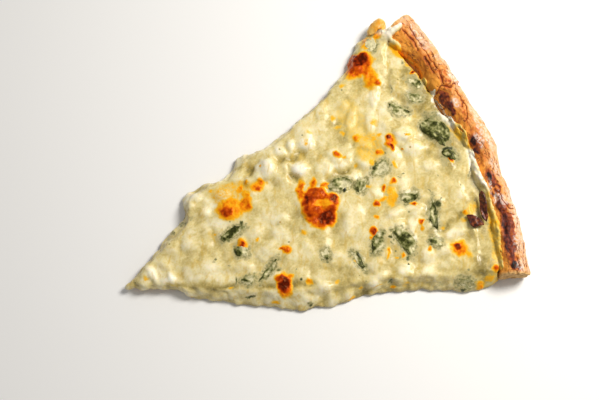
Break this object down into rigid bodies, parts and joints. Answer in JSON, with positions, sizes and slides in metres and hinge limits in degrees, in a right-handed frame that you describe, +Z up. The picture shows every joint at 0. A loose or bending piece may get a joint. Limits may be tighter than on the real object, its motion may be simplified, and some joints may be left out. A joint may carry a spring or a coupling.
{
  "type": "pizza slice",
  "caption": "Large wedge of white cheese pizza with spinach and artichoke, a puffed crust rim and cheese draped over both cuts.",
  "frame": {"origin": "middle of the slice's footprint, on the surface that it rests on", "axes": "+X from the tip to the crust along the slice's middle line, +Z up"},
  "size_m": [0.2804, 0.2164, 0.0217],
  "materials": {
    "crust": "baked dough, orange brown on top, floury on the outside",
    "cheese": "melted white cheese, satin and a little oily, browned in spots",
    "spinach": "cooked leaf, dark green under a film of cheese",
    "artichoke": "crisped petal, dark brown",
    "artichoke_heart": "soft heart, golden with a browned top"
  },
  "bodies": {
    "root": {"crust": "crust", "cheese": "cheese", "artichoke_heart": "artichoke_heart", "artichoke_petal_wide": "artichoke", "artichoke_petal_long": "artichoke", "spinach_leaf_a": "spinach", "spinach_leaf_b": "spinach", "spinach_strip_c": "spinach", "spinach_leaf_d": "spinach", "spinach_leaf_e": "spinach", "spinach_leaf_f": "spinach", "spinach_leaf_g": "spinach", "spinach_leaf_h": "spinach", "spinach_leaf_i": "spinach", "spinach_leaf_j": "spinach", "spinach_leaf_k": "spinach", "spinach_strip_l": "spinach", "spinach_leaf_m": "spinach", "spinach_leaf_n": "spinach", "spinach_leaf_o": "spinach", "spinach_strip_p": "spinach", "spinach_leaf_q": "spinach", "spinach_leaf_r": "spinach", "spinach_strip_s": "spinach", "spinach_leaf_t": "spinach", "spinach_leaf_u": "spinach"}
  },
  "joints": []
}
